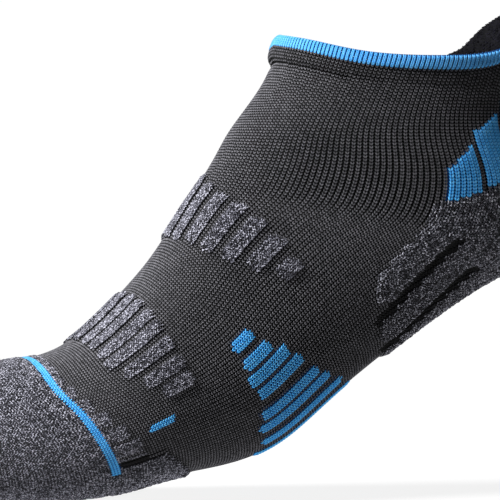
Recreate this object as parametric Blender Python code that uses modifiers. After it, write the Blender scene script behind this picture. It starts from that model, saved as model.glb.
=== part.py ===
# A low-cut running sock, standing open as it is on a foot held on tiptoe.
# X points back towards the heel, -X towards the toe, -Y is the outer side, +Z is up the leg.
# The origin is in the ankle opening, on the line of the ankle.
import math

import bmesh
import bpy
import numpy as np

mm = 0.001

# Overall sizes of the filled sock
foot_reach = 241 * mm  # heel back to toe tip, along X
body_height = 168 * mm  # top of the front edge to the lowest point of the sole
ball_width = 97 * mm  # across the ball of the foot
ankle_depth = 96 * mm  # front to back of the opening
ankle_width = 71 * mm  # side to side of the opening

# Cloth and pads, as thicknesses
knit_wall = 1.0 * mm
elastic_thickness = 0.6 * mm
band_thickness = 1.0 * mm
edge_thickness = 1.4 * mm
stripe_thickness = 0.8 * mm
rib_height = 1.3 * mm
bar_thickness = 1.0 * mm
heel_pad_thickness = 1.8 * mm
sole_pad_thickness = 1.8 * mm
toe_pad_thickness = 1.4 * mm
tab_pad_thickness = 2.0 * mm
tab_cover_thickness = 0.9 * mm
seam_height = 0.9 * mm
clearance = 0.45 * mm  # between a zone and the knit under it, and between neighbours

# Heights along the knit, in courses: one course unit is one millimetre down the side of the leg
# and along the side of the foot at the drawn size.
edge_height = 4.2
band_height = 7.2
elastic_height = 3.4
elastic_margin = 0.6  # the elastic ends this far above the lower edge of the band
tab_half_angle = 48.0  # each side of the middle of the back
tab_drop = 1.86  # from the top edge, where the tab begins, down to the tab's fold line
tab_pad_inset = 7.0  # angle from the side of the tab to the pad, and to the cover over it
tab_cover_inset = 10.0

# The plain tube's three lengths
leg_turn = 14.0
leg_knit_end = 49.0
heel_knit_end = 104.0
foot_knit_end = 150.0
toe_shoulder = 218.0

# Raised ribs over the instep: angle between ribs, width and course range
upper_rib_count = 6  # each side of the middle rib
upper_rib_pitch = 13.0
upper_rib_start = 65.0
upper_rib_slant = 7.2  # each rib starts this much lower than the one nearer the middle
upper_rib_end = 137.0
lower_rib_count = 7
lower_rib_pitch = 12.0
lower_rib_start = 174.0
lower_rib_end = 203.0
lower_rib_slant = 5.0  # the ribs at the sides end this much higher, one after the other
rib_width = 7.6  # degrees of the girth

# Blue stripes round the arch
arch_stripe_count = 8
arch_stripe_pitch = 10.0
arch_first_angle = 85.0
arch_stripe_width = 5.6
arch_stripe_start = 144.5
arch_start_slant = 2.5
arch_stripe_end = 154.0
arch_end_slant = 0.8

# Flex channels in the heel
channel_width = 4.4
channel_start = 75.0
finger_end = 106.0
heel_end = 116.0

# Forefoot and toe
pad_half_angle = 58.0  # each side of the middle of the sole
stripe_end = 127.0  # angle where the toe stripe ends on each side
stripe_half = 1.5
teeth_end = 118.0
tooth_depth = 2.4
cap_shoulder = 236.0
seam_course = 258.0
seam_width = 1.6
seam_half_angle = 78.0

# Sections of the foot form from above the heel tab to the toe tip, in millimetres at the
# drawn size: the point on the front of the leg or top of the foot, the point on the back of
# the leg or the sole, half the width, and how far the section is moved towards the inner side,
# where the big toe is.
sections = [
    ("above_tab", (-38.0, 34.0), (51.0, 34.0), 36.5, 0.0),
    ("opening", (-46.5, 6.0), (49.5, 6.0), 35.5, 0.0),
    ("cuff_foot", (-50.2, -6.0), (47.0, -5.0), 34.5, 0.0),
    ("shin", (-57.0, -17.0), (45.5, -16.0), 34.5, 0.0),
    ("ankle_bend", (-65.3, -28.0), (47.5, -29.0), 35.5, 0.0),
    ("heel_high", (-70.4, -36.5), (55.0, -43.0), 35.5, 0.0),
    ("heel_back", (-74.4, -43.0), (58.5, -57.0), 34.5, 0.0),
    ("heel_turn", (-77.3, -47.5), (53.0, -72.0), 34.0, 0.0),
    ("heel_base", (-79.8, -51.3), (37.0, -81.5), 33.5, 0.0),
    ("heel_fore", (-82.4, -55.0), (14.0, -95.0), 34.0, 0.0),
    ("arch", (-85.4, -59.8), (-8.0, -110.5), 35.5, 0.0),
    ("waist", (-89.3, -66.0), (-30.0, -127.5), 37.5, 0.0),
    ("instep", (-95.2, -75.0), (-52.0, -144.5), 41.0, 0.0),
    ("forefoot", (-103.4, -85.0), (-72.0, -151.5), 44.5, 0.0),
    ("knuckles", (-114.5, -96.5), (-92.0, -155.0), 48.0, 0.0),
    ("ball", (-127.5, -107.0), (-112.0, -160.0), 48.5, 1.0),
    ("toes", (-141.0, -112.0), (-131.0, -162.5), 46.5, 4.0),
    ("toe_middle", (-155.0, -115.0), (-149.0, -162.5), 41.5, 8.0),
    ("toe_end", (-167.0, -120.5), (-164.0, -160.5), 33.5, 12.0),
    ("toe_round", (-176.0, -129.0), (-174.5, -153.5), 22.5, 14.5),
    ("tip", (-180.5, -138.5), (-180.3, -144.5), 9.0, 15.5),
]
drawn_reach = 241.0
drawn_height = 168.0
drawn_ball = 97.0
drawn_depth = 96.0
drawn_ankle = 71.0
leg_sections = 4  # the first sections follow the ankle sizes, the rest the foot sizes

charcoal = (0.030, 0.031, 0.034)
black = (0.012, 0.012, 0.014)
heather = (0.150, 0.152, 0.170)
light_heather = (0.210, 0.213, 0.235)
blue = (0.045, 0.305, 0.790)


class Curve:
    """A natural cubic spline through values at knots."""

    def __init__(self, knots, values):
        self.knots = np.asarray(knots, float)
        self.values = np.asarray(values, float)
        gaps = np.diff(self.knots)
        count = len(self.knots)
        matrix = np.eye(count)
        bends = np.zeros(self.values.shape)
        for i in range(1, count - 1):
            matrix[i, i - 1 : i + 2] = gaps[i - 1], 2 * (gaps[i - 1] + gaps[i]), gaps[i]
            after = (self.values[i + 1] - self.values[i]) / gaps[i]
            before = (self.values[i] - self.values[i - 1]) / gaps[i - 1]
            bends[i] = 6 * (after - before)
        self.bends = np.linalg.solve(matrix, bends)

    def __call__(self, at):
        i = int(np.clip(np.searchsorted(self.knots, at) - 1, 0, len(self.knots) - 2))
        gap = self.knots[i + 1] - self.knots[i]
        a = at - self.knots[i]
        b = self.knots[i + 1] - at
        low, high = self.bends[i], self.bends[i + 1]
        curved = (low * b**3 + high * a**3) / (6 * gap)
        straight = (self.values[i] / gap - low * gap / 6) * b
        return curved + straight + (self.values[i + 1] / gap - high * gap / 6) * a


def sized_sections():
    """The sections in metres, at the overall sizes above."""
    rows = []
    for number, (_, front, back, half_width, shift) in enumerate(sections):
        leg = max(0.0, 1 - number / leg_sections)
        stretch = leg * ankle_depth / (drawn_depth * mm) + (1 - leg) * foot_reach / (drawn_reach * mm)
        widen = leg * ankle_width / (drawn_ankle * mm) + (1 - leg) * ball_width / (drawn_ball * mm)
        rise = body_height / (drawn_height * mm)
        rows.append(
            [
                front[0] * stretch * mm,
                front[1] * rise * mm,
                back[0] * stretch * mm,
                back[1] * rise * mm,
                half_width * widen * mm,
                shift * widen * mm,
            ]
        )
    return rows


def course_knots():
    """How far along the knit each section lies, counted from the opening, in drawn millimetres."""
    front = np.array([s[1] for s in sections])
    back = np.array([s[2] for s in sections])
    steps = (np.hypot(*np.diff(front, axis=0).T) + np.hypot(*np.diff(back, axis=0).T)) / 2
    along = np.concatenate([[0.0], np.cumsum(steps)])
    return along - along[1]


knots = course_knots()
form = Curve(knots, sized_sections())
heel_fore = knots[[s[0] for s in sections].index("heel_fore")]
last_course = knots[-1]
gap = clearance / mm  # the same clearance in courses

# The top edge, the toe stripe and the ragged edge behind it: course against angle from the
# front of the leg or the top of the foot
rim = Curve(
    [0, 30, 60, 98, 126, 134, 140, 155, 168, 180],
    [-1.5, 0.8, 5.0, 6.6, 3.8, 0.6, -4.0, -11.0, -14.5, -15.5],
)
tab_edge = 180 - tab_half_angle
tab_base = rim(tab_edge) + tab_drop
stripe_line = Curve([0, 36, 57, 71, 90, 125, 180], [225.2, 224.9, 222.9, 219.4, 215.6, 210.8, 209.8])
ragged_line = Curve([0, 38, 58, 91, 121, 180], [219.5, 220.0, 216.0, 207.5, 199.5, 199.0])


def turned(angle):
    """The same angle as 0 to 180 degrees from the front or top, on either side."""
    return abs((angle + 180) % 360 - 180)


def on_form(course, angle):
    """A point on the outside of the plain knit."""
    front_x, front_z, back_x, back_z, half_width, shift = form(course)
    turn = math.radians(angle)
    share = (1 - math.cos(turn)) / 2
    across = math.sin(turn)
    flatter = min(max((course - heel_fore) / 60, 0), 1) * 0.6 * (share - 0.5) * share * (1 - share)
    side = half_width * math.copysign(abs(across) ** 0.92, across) * (1 + flatter)
    x = front_x + (back_x - front_x) * share
    z = front_z + (back_z - front_z) * share
    return np.array([x, shift - side, z])


def place(course, angle, lift):
    """A point that stands off the plain knit by lift."""
    along = on_form(course + 0.05, angle) - on_form(course - 0.05, angle)
    around = on_form(course, angle + 0.1) - on_form(course, angle - 0.1)
    out = np.cross(along, around)
    return on_form(course, angle) + out * (lift / np.linalg.norm(out))


def material(name, colour, roughness):
    made = bpy.data.materials.new(name)
    made.use_nodes = True
    shader = made.node_tree.nodes["Principled BSDF"]
    shader.inputs["Base Color"].default_value = (*colour, 1)
    shader.inputs["Roughness"].default_value = roughness
    shader.inputs["Metallic"].default_value = 0.0
    made.diffuse_color = (*colour, 1)
    return made


def zone(name, rows, lift, thickness, colour, ring=False, tip=False, keep=None):
    """An open surface through rows of (course, angle) places, thickened away from the foot.

    ring joins the last column to the first, tip closes the last row to a point, and keep says
    which cells of the grid are cloth.
    """
    mesh = bmesh.new()
    points = [[mesh.verts.new(place(course, angle, lift)) for course, angle in row] for row in rows]
    columns = len(rows[0])
    for i in range(len(rows) - 1):
        for j in range(columns if ring else columns - 1):
            if keep and not keep(i, j):
                continue
            k = (j + 1) % columns
            mesh.faces.new((points[i][j], points[i + 1][j], points[i + 1][k], points[i][k]))
    if tip:
        last = points[-1]
        middle = sum((vert.co for vert in last[1:]), last[0].co.copy()) / columns
        end = mesh.verts.new((middle.x - tip, middle.y, middle.z))
        for j in range(columns):
            mesh.faces.new((last[j], end, last[(j + 1) % columns]))
    loose = [vert for vert in mesh.verts if not vert.link_faces]
    bmesh.ops.delete(mesh, geom=loose, context="VERTS")
    data = bpy.data.meshes.new(name)
    mesh.to_mesh(data)
    mesh.free()
    data.shade_smooth()
    data.set_sharp_from_angle(angle=math.radians(40))
    made = bpy.data.objects.new(name, data)
    sock.objects.link(made)
    wall = made.modifiers.new("wall", "SOLIDIFY")
    wall.thickness = abs(thickness)
    wall.offset = math.copysign(1, thickness)
    wall.use_even_offset = True
    data.materials.append(material(name, colour, 0.9))
    return made


def spread(low, high, count):
    return [low + (high - low) * i / count for i in range(count + 1)]


def all_round(count):
    return [360 * i / count for i in range(count)]


def stepped_round(count, edge):
    """Angles all round, with a close pair each side where the outline steps at the edge angle."""
    angles = [a for a in all_round(count) if abs(turned(a) - edge) > 1.5]
    step = [edge - 0.4, edge + 0.6]
    return sorted(angles + step + [360 - a for a in step])


def grid(courses, angles):
    return [[(course, angle) for angle in angles] for course in courses]


def between(angles, upper, lower, count):
    """Rows from the upper line to the lower line, both functions of the angle."""
    return [
        [(upper(angle) + (lower(angle) - upper(angle)) * share, angle) for angle in angles]
        for share in spread(0, 1, count)
    ]


def rib(name, courses, angle, width, lift, thickness, colour, cells):
    """A raised bar along the foot with narrowed ends."""
    rows = []
    steps = spread(courses[0], courses[1], cells)
    for i, course in enumerate(steps):
        half = width / 2 * (0.62 if i in (0, cells) else 1.0)
        rows.append([(course, angle - half), (course, angle), (course, angle + half)])
    return zone(name, rows, lift, thickness, colour)


def side_names(stem, side):
    return f"{stem}_{'outer' if side > 0 else 'inner'}"


def mirrored(rows, side):
    """The rows as they are on the outer side, or turned over to the inner side."""
    if side > 0:
        return rows
    return [[(course, -angle) for course, angle in reversed(row)] for row in rows]


def make_main_knit():
    """The plain tube in three lengths, leg, foot and toe, that meet with the clearance between them."""
    angles = stepped_round(36, tab_edge)

    def top(angle):
        return rim(turned(angle)) if turned(angle) < tab_edge else tab_base + gap

    leg = between(angles, top, lambda angle: leg_turn, 2)
    leg += grid(spread(leg_turn, leg_knit_end, 4)[1:], angles)
    zone("main_knit_leg", leg, 0, -knit_wall, charcoal, ring=True)
    foot = spread(leg_knit_end + gap, heel_knit_end, 9) + spread(heel_knit_end, foot_knit_end, 5)[1:]
    zone("main_knit_foot", grid(foot, angles), 0, -knit_wall, charcoal, ring=True)
    toe = spread(foot_knit_end + gap, toe_shoulder, 7) + spread(toe_shoulder, last_course - 1, 10)[1:]
    zone("main_knit_toe", grid(toe, angles), 0, -knit_wall, charcoal, ring=True, tip=1.2 * mm)


def make_cuff():
    elastic_lift = clearance
    band_lift = elastic_lift + elastic_thickness + clearance
    front = spread(-tab_edge + 1, tab_edge - 1, 44)

    def edge_foot(angle):
        return rim(turned(angle)) + edge_height

    edge = between(front, lambda a: rim(turned(a)), edge_foot, 2)
    zone("cuff_edge", edge, band_lift, edge_thickness, blue)
    ring = stepped_round(40, tab_edge)

    def band_top(angle):
        back = tab_base + gap
        return max(edge_foot(angle) + gap, back) if turned(angle) < tab_edge else back

    def band_foot(angle):
        return rim(min(turned(angle), tab_edge)) + edge_height + band_height

    band = between(ring, band_top, band_foot, 2)
    zone("cuff_band", band, band_lift, band_thickness, charcoal, ring=True)
    upper = [band_foot(angle) - elastic_height - elastic_margin for angle in ring]
    rows = [[(u + drop, angle) for u, angle in zip(upper, ring)] for drop in (0, elastic_height)]
    zone("cuff_elastic", rows, elastic_lift, elastic_thickness, black, ring=True)


def make_heel_tab():
    """The raised tab, in four layers, on an empty that stands on its fold line."""
    edge = tab_edge + 2 * gap
    wide = spread(edge, 360 - edge, 20)
    pad_lift = clearance
    cover_lift = pad_lift + tab_pad_thickness + clearance
    lining = between(wide, lambda a: rim(turned(a)), lambda a: tab_base, 4)
    made = [zone("heel_tab_lining", lining, 0, -knit_wall, black)]

    def welt_foot(angle):
        return min(rim(turned(angle)) + edge_height, tab_base)

    welt = between(wide, lambda a: rim(turned(a)), welt_foot, 1)
    made.append(zone("heel_tab_edge", welt, cover_lift, edge_thickness, blue))
    cover_edge = tab_edge + tab_cover_inset
    narrow = spread(cover_edge, 360 - cover_edge, 12)
    cover = between(narrow, lambda a: welt_foot(a) + gap, lambda a: tab_base, 2)
    made.append(zone("heel_tab_cover", cover, cover_lift, tab_cover_thickness, charcoal))
    pad_edge = tab_edge + tab_pad_inset
    padded = spread(pad_edge, 360 - pad_edge, 14)
    pad = between(padded, lambda a: rim(turned(a)) + 1.0, lambda a: tab_base, 3)
    made.append(zone("heel_tab_pad", pad, pad_lift, tab_pad_thickness, black))
    fold = place(tab_base, 180, cover_lift + edge_thickness)
    pivot = bpy.data.objects.new("heel_tab_fold_line", None)
    sock.objects.link(pivot)
    pivot.location = fold
    bpy.context.view_layer.update()
    for piece in made:
        piece.parent = pivot
        piece.matrix_parent_inverse = pivot.matrix_world.inverted()


def make_instep_ribs():
    for k in range(-upper_rib_count, upper_rib_count + 1):
        start = upper_rib_start + upper_rib_slant * abs(k)
        end = upper_rib_end - 0.5 * k * k
        cells = 7 if abs(k) < 5 else 4
        name = f"upper_rib_{k + upper_rib_count + 1:02d}"
        angle = k * upper_rib_pitch
        rib(name, (start, end), angle, rib_width, clearance, rib_height, light_heather, cells)
    for k in range(-lower_rib_count, lower_rib_count + 1):
        end = lower_rib_end - lower_rib_slant * max(abs(k) - 4, 0)
        name = f"lower_rib_{k + lower_rib_count + 1:02d}"
        angle = k * lower_rib_pitch
        rib(name, (lower_rib_start, end), angle, rib_width, clearance, rib_height, light_heather, 6)


def arch_stripe_courses(k):
    return arch_stripe_start - arch_start_slant * k, arch_stripe_end + arch_end_slant * k


def make_arch_stripes():
    for k in range(arch_stripe_count):
        angle = arch_first_angle + k * arch_stripe_pitch
        name = f"arch_stripe_{k + 1}"
        cells = 3 if k < 4 else 6
        courses = arch_stripe_courses(k)
        rib(name, courses, angle, arch_stripe_width, clearance, stripe_thickness, blue, cells)
    # On the inner side the same stripes are joined by the elastic strip that they are knitted from.
    half = arch_stripe_width / 2
    columns = []
    for k in range(arch_stripe_count):
        angle = arch_first_angle + k * arch_stripe_pitch
        columns += [(angle - half, k), (angle + half, k)]
    rows = []
    shares = (0, 0.14, 0.28, 0.42, 0.58, 0.72, 0.86, 1)
    for share in shares:
        row = []
        for angle, k in columns:
            start, end = arch_stripe_courses(k)
            row.append((start + (end - start) * share, angle))
        rows.append(row)
    last = len(columns) - 2

    def keep(i, j):
        return shares[i] == 0.42 or (last - j) % 2 == 0

    zone("arch_stripes_inner", mirrored(rows, -1), clearance, stripe_thickness, blue, keep=keep)


def make_achilles_bars():
    drawn = [
        (102.0, 115.0, (52.0, 41.0), (64.0, 59.0)),
        (118.5, 132.5, (37.0, 29.0), (57.0, 54.0)),
        (136.0, 150.0, (25.0, 19.0), (53.0, 52.0)),
    ]
    for side in (1, -1):
        for number, (low, high, tops, feet) in enumerate(drawn):
            angles = spread(low, high, 3)
            top = Curve([low, (low + high) / 2, high], [tops[0], sum(tops) / 2, tops[1]])
            foot = Curve([low, (low + high) / 2, high], [feet[0], sum(feet) / 2, feet[1]])
            rows = mirrored(between(angles, top, foot, 4), side)
            zone(f"{side_names('achilles_bar', side)}_{number + 1}", rows, clearance, bar_thickness, blue)


def make_heel_cup():
    """The heel pocket, with two flex channels each side left open to the plain knit."""
    top_line = Curve([99, 110, 120, 135, 152, 180], [65.5, 62.0, 58.5, 56.0, 54.5, 52.0])

    def outer_columns(course):
        """Angles from the upper edge to the middle of the sole, with both channels' sides."""
        upper = 99 + max(course - 71, 0) * 0.32
        one = 114 + max(course - 73, 0) * 0.41
        two = 137 + max(course - 83, 0) * 0.545
        half = channel_width / 2
        fingers = [upper, (upper + one - half) / 2, one - half, one + half, (one + two) / 2, two - half]
        return fingers + spread(two + half, 180, 4)

    def whole_row(half_row):
        return half_row + [(course, 360 - angle) for course, angle in reversed(half_row[:-1])]

    rows = []
    back_rows = 5
    for share in spread(0, 1, back_rows):
        half_row = []
        for angle in outer_columns(channel_start):
            top = top_line(angle) + gap
            half_row.append((top + (channel_start - top) * share, angle))
        rows.append(whole_row(half_row))
    front = spread(channel_start, finger_end, 7)[1:] + spread(finger_end, heel_end, 2)[1:]
    for course in front:
        rows.append(whole_row([(course, angle) for angle in outer_columns(course)]))
    cells = len(rows[0]) - 1

    def keep(i, j):
        column = min(j, cells - 1 - j)
        course = rows[i][0][0]
        if i < back_rows:
            return True
        if column == 2 or (column == 5 and course > channel_start + 4):
            return False
        return column > 1 or course < finger_end - 0.01

    zone("heel_cup", rows, clearance, heel_pad_thickness, heather, keep=keep)


def make_forefoot_and_toe():
    pad_edge = 180 - pad_half_angle
    angles = spread(pad_edge, 360 - pad_edge, 12)
    start = Curve([pad_edge, 150, 180], [193.0, 184.0, 180.0])
    pad_foot = stripe_line(180) - 1.0
    rows = between(angles, lambda a: start(turned(a)), lambda a: pad_foot - gap, 5)
    zone("forefoot_pad", rows, clearance, sole_pad_thickness, heather)

    band = spread(-stripe_end, stripe_end, 44)
    rows = between(
        band,
        lambda a: stripe_line(turned(a)) - stripe_half,
        lambda a: stripe_line(turned(a)) + stripe_half,
        1,
    )
    zone("toe_stripe", rows, clearance, stripe_thickness, blue)

    teeth = spread(-teeth_end, teeth_end, 58)

    def ragged(angle):
        tooth = round((angle + teeth_end) / (2 * teeth_end / 58))
        return ragged_line(turned(angle)) + (tooth_depth if tooth % 2 else 0.0)

    rows = between(teeth, ragged, lambda a: stripe_line(turned(a)) - stripe_half - gap, 2)
    zone("toe_transition", rows, clearance, stripe_thickness, heather)

    cap_step = stripe_end + 1.4
    ring = stepped_round(36, cap_step)

    def cap_top(angle):
        line = stripe_line(turned(angle)) + stripe_half + gap
        return line if turned(angle) < cap_step else pad_foot

    rows = between(ring, cap_top, lambda a: cap_shoulder, 2)
    rows += grid(spread(cap_shoulder, last_course - 1.5, 8)[1:], ring)
    zone("toe_cap", rows, clearance, toe_pad_thickness, light_heather, ring=True, tip=1.6 * mm)

    seam_lift = clearance + toe_pad_thickness + clearance
    seam_courses = (seam_course - seam_width / 2, seam_course + seam_width / 2)
    rows = grid(seam_courses, spread(-seam_half_angle, seam_half_angle, 22))
    zone("toe_seam", rows, seam_lift, seam_height, charcoal)


def make_side_mark():
    """A plain bar on the outer side of the forefoot."""
    rows = grid(spread(187, 197, 3), (99.5, 102.5))
    zone("side_mark", rows, clearance, stripe_thickness, blue)


for old in list(bpy.data.objects):
    bpy.data.objects.remove(old)
sock = bpy.data.collections.new("running_sock")
bpy.context.scene.collection.children.link(sock)

make_main_knit()
make_cuff()
make_heel_tab()
make_instep_ribs()
make_arch_stripes()
make_achilles_bars()
make_heel_cup()
make_forefoot_and_toe()
make_side_mark()
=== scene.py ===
import math

import bpy
import numpy as np
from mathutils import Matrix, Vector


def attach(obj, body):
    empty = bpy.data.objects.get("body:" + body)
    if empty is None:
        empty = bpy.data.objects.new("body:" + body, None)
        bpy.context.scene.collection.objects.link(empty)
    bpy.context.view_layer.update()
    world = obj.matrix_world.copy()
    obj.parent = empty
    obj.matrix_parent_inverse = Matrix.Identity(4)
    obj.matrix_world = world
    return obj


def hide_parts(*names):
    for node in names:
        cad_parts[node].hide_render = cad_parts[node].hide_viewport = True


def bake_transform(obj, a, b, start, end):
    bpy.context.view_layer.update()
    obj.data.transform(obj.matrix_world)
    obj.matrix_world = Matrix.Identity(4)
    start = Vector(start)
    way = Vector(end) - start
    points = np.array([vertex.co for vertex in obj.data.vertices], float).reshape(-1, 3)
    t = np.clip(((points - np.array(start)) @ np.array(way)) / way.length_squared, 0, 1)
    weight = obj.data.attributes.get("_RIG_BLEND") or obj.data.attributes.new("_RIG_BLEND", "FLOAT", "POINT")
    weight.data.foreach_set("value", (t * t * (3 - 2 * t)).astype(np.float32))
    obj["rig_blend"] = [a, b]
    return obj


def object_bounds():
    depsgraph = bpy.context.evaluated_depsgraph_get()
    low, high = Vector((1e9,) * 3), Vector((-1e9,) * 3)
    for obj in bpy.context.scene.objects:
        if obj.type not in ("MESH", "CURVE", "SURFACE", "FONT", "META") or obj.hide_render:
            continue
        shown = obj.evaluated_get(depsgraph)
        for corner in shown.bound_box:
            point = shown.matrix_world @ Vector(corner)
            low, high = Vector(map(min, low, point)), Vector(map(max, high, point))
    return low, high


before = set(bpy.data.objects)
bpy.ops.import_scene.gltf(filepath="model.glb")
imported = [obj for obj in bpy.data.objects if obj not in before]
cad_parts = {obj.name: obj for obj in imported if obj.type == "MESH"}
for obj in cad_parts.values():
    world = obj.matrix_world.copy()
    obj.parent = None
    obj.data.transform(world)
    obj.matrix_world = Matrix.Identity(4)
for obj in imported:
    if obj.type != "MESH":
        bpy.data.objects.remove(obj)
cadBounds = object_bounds()
scene = bpy.context.scene
rng = np.random.default_rng(41)
print("frame loaded")

# Camera, floor and light

cameraSet = {"place": (-0.4455, -1.3486, -0.0478), "target": (-0.0597, -0.003, -0.0722), "lens": 272.0}
floorSet = {"half": 0.32, "colour": (0.15, 0.15, 0.15), "glow": 0.87}
lightSet = {"room": 0.03, "key": 7.2, "keyFrom": (-1.3, -0.28, 0.9), "keySpread": 28.0}


def makeCamera():
    data = bpy.data.cameras.new("camera")
    data.lens = cameraSet["lens"]
    data.sensor_width = 36.0
    data.clip_end = 60.0
    camera = bpy.data.objects.new("camera", data)
    place = np.array(cameraSet["place"])
    camera.location = place
    look = bpy.data.objects.new("look", None).location.copy()
    look.x, look.y, look.z = np.array(cameraSet["target"]) - place
    camera.rotation_euler = look.to_track_quat("-Z", "Y").to_euler()
    scene.collection.objects.link(camera)
    scene.camera = camera


makeCamera()
print("camera placed")

# Shader maths and the finishes


class Signal:  # wraps a socket, so that shader maths reads as an expression
    def __init__(self, tree, socket):
        self.tree, self.socket = tree, socket

    def maths(self, operation, other):
        node = self.tree.nodes.new("ShaderNodeMath")
        node.operation = operation
        for slot, value in zip(node.inputs, (self, other)):
            if isinstance(value, Signal):
                self.tree.links.new(value.socket, slot)
            else:
                slot.default_value = value
        return Signal(self.tree, node.outputs[0])

    def __add__(self, other):
        return self.maths("ADD", other)

    __radd__ = __add__

    def __sub__(self, other):
        return self.maths("SUBTRACT", other)

    def __mul__(self, other):
        return self.maths("MULTIPLY", other)


def slotOf(node, key):  # i3 is the fourth input, and any other key is an input's name
    if key[0] == "i" and key[1:].isdigit():
        return node.inputs[int(key[1:])]
    return node.inputs[key.replace("_", " ")]


class Finish:  # one material and its nodes
    def __init__(self, name):
        self.material = bpy.data.materials.new(name)
        self.material.use_nodes = True
        self.tree = self.material.node_tree
        self.shader = next(n for n in self.tree.nodes if n.type == "BSDF_PRINCIPLED")

    def node(self, kind, settings=(), **sockets):
        made = self.tree.nodes.new(kind)
        for key, value in dict(settings).items():
            if key == "stops":
                ramp = made.color_ramp
                while len(ramp.elements) < len(value):
                    ramp.elements.new(0.5)
                for element, (where, colour) in zip(ramp.elements, value):
                    element.position, element.color = where, (*colour, 1)
            else:
                setattr(made, key, value)
        for key, value in sockets.items():
            slot = slotOf(made, key)
            if isinstance(value, Signal):
                self.tree.links.new(value.socket, slot)
            else:
                slot.default_value = value
        return made

    def out(self, node, number=0):
        return Signal(self.tree, node.outputs[number])

    def attribute(self, name):
        return self.out(self.node("ShaderNodeAttribute", {"attribute_name": name}), 2)

    def noise(self, scale, detail=2.0, stretch=(1, 1, 1)):  # scale counts lumps in a metre
        where = self.out(self.node("ShaderNodeTexCoord"), 3)
        mapping = self.node("ShaderNodeMapping", Vector=where, Scale=stretch)
        return self.out(self.node("ShaderNodeTexNoise", Vector=self.out(mapping), Scale=scale, Detail=detail))

    def ramp(self, value, stops):
        return self.out(self.node("ShaderNodeValToRGB", {"stops": stops}, Fac=value))

    def blendColours(self, share, low, high):
        made = self.node("ShaderNodeMix", {"data_type": "RGBA"}, i0=share, i6=low, i7=high)
        return self.out(made, 2)

    def feed(self, name, value):
        slot = self.shader.inputs[name]
        if isinstance(value, Signal):
            self.tree.links.new(value.socket, slot)
        else:
            slot.default_value = value

    def bump(self, height, strength, distance):
        made = self.node("ShaderNodeBump", Height=height, Strength=strength, Distance=distance)
        self.feed("Normal", self.out(made))


def rgb(*channels):  # colours are written as they look on a screen
    return tuple(((c / 255 + 0.055) / 1.055) ** 2.4 if c > 10 else c / 255 / 12.92 for c in channels)


def shades(*places):  # each is a place along the ramp, then red, green and blue
    return [(where, rgb(*colour)) for where, *colour in places]


fibreScale = 5200.0


def yarnFinish(name, stops, roughness=0.82, sheen=0.06, fibre=0.35, shade=0.75, lift=-0.1, gloss=0.35):
    # tone is a random number for each leg of each stitch, the crown value runs from 0 at its ends to 1 at its
    # middle and paints light on the yarn: a painted highlight at the middle of each leg and painted shade at
    # its ends, with the weight shade
    made = Finish(name)
    tone, crown = made.attribute("tone"), made.attribute("crown")
    fibres = made.noise(fibreScale, 2.0, (1, 1, 0.35))
    value = crown * shade + tone * 0.5 + (fibres - 0.5) * fibre + lift
    made.feed("Base Color", made.ramp(value, stops))
    made.feed("Roughness", roughness + (fibres - 0.5) * 0.2)
    made.feed("Sheen Weight", sheen)
    made.feed("Specular IOR Level", gloss)
    made.bump(fibres, 0.35, 0.00015)
    return made.material


def heatherFinish(name, stops):
    # light and dark strands twisted into one yarn, so the flecks are finer than a stitch
    made = Finish(name)
    tone, crown = made.attribute("tone"), made.attribute("crown")
    flecks = made.noise(2100.0, 1.5)
    fibres = made.noise(fibreScale, 2.0)
    # the crown value adds a painted highlight at the middle of each leg and painted shade at its ends
    value = (flecks - 0.5) * 3.3 + tone * 0.5 + crown * 0.36 + (fibres - 0.5) * 0.3
    made.feed("Base Color", made.ramp(value, stops))
    made.feed("Roughness", 0.88 + (fibres - 0.5) * 0.15)
    made.feed("Sheen Weight", 0.06)
    made.feed("Specular IOR Level", 0.3)
    made.bump(flecks * 0.6 + fibres * 0.4, 0.5, 0.0002)
    return made.material


def clothFinish(name, colour, deep):
    made = Finish(name)
    fibres = made.noise(3600.0, 2.0)
    lumps = made.noise(900.0, 2.0)
    made.feed("Base Color", made.blendColours(lumps, (*deep, 1), (*colour, 1)))
    made.feed("Roughness", 0.9 + (fibres - 0.5) * 0.15)
    made.feed("Specular IOR Level", 0.2)
    made.bump(lumps * 0.7 + fibres * 0.3, 0.6, 0.0004)
    return made.material


# the near black low ends and the bright high ends of these ramps are reached through the crown value: painted
# shade at the ends of each leg, painted highlight at its middle
charcoalShades = shades(
    (0.0, 1, 1, 2), (0.3, 4, 4, 6), (0.52, 54, 54, 58), (0.72, 122, 121, 127), (1.0, 200, 199, 206)
)  # fmt: skip
heatherShades = shades((0.0, 6, 6, 9), (0.5, 45, 45, 52), (0.75, 109, 109, 120), (1.0, 202, 202, 214))
lightShades = shades((0.0, 8, 8, 12), (0.42, 50, 50, 58), (0.68, 106, 106, 118), (1.0, 190, 190, 203))
blueShades = shades((0.0, 4, 34, 78), (0.35, 26, 122, 200), (0.7, 72, 178, 244), (1.0, 150, 228, 255))
weltShades = shades((0.0, 14, 84, 152), (0.4, 48, 144, 214), (1.0, 128, 206, 250))
blackShades = shades((0.0, 2, 2, 3), (0.5, 12, 12, 14), (1.0, 30, 30, 34))
seamShades = shades((0.0, 8, 8, 10), (0.5, 26, 26, 30), (1.0, 60, 60, 66))
terryShades = shades((0.0, 3, 3, 6), (0.5, 9, 9, 14), (1.0, 32, 31, 41))
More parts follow.
